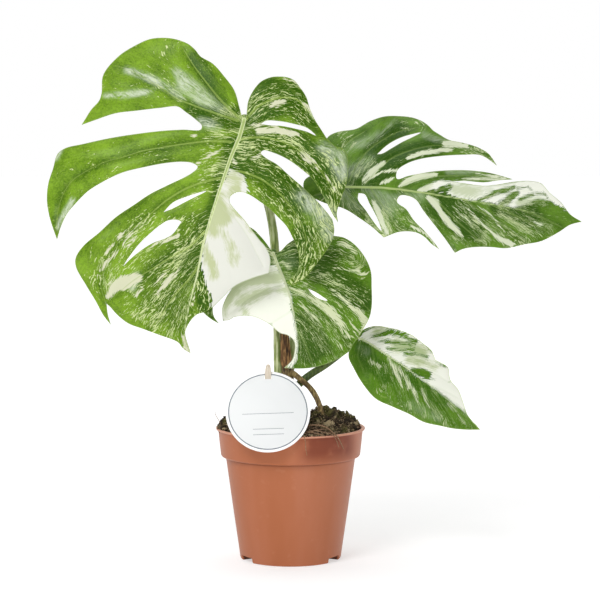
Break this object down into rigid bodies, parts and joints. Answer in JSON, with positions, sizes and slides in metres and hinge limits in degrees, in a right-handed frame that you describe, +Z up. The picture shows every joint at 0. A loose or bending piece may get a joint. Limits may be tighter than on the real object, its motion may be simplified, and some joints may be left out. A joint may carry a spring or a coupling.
{
  "type": "potted variegated monstera",
  "caption": "Young cream-variegated monstera in a plain round nursery pot, with cut and holed leaves on tall stalks, an aerial root in the peat and a blank round card on a wooden stick.",
  "frame": {"origin": "middle of the pot's base, on the face it stands on", "axes": "+Z up along the pot's axis, -Y towards the front that the card and the large leaf face, +X to the right seen from the front"},
  "size_m": [0.4281, 0.1516, 0.417],
  "materials": {
    "pot_plastic": "satin",
    "peat": "matte",
    "stem": "satin",
    "dry_sheath": "matte",
    "root": "matte",
    "stalk": "satin",
    "leaf_bright": "satin",
    "leaf_deep": "satin",
    "card": "matte",
    "stick_wood": "matte"
  },
  "bodies": {
    "root": {"pot": "pot_plastic", "soil": "peat", "main_stem": "stem", "dry_sheath": "dry_sheath", "aerial_root": "root", "stalk_front": "stalk", "stalk_right": "stalk", "stalk_middle": "stalk", "stalk_lower": "stalk", "leaf_front": "leaf_bright", "leaf_right": "leaf_deep", "leaf_middle": "leaf_deep", "leaf_lower": "leaf_deep", "tag_card": "card", "tag_stick": "stick_wood"}
  },
  "joints": []
}
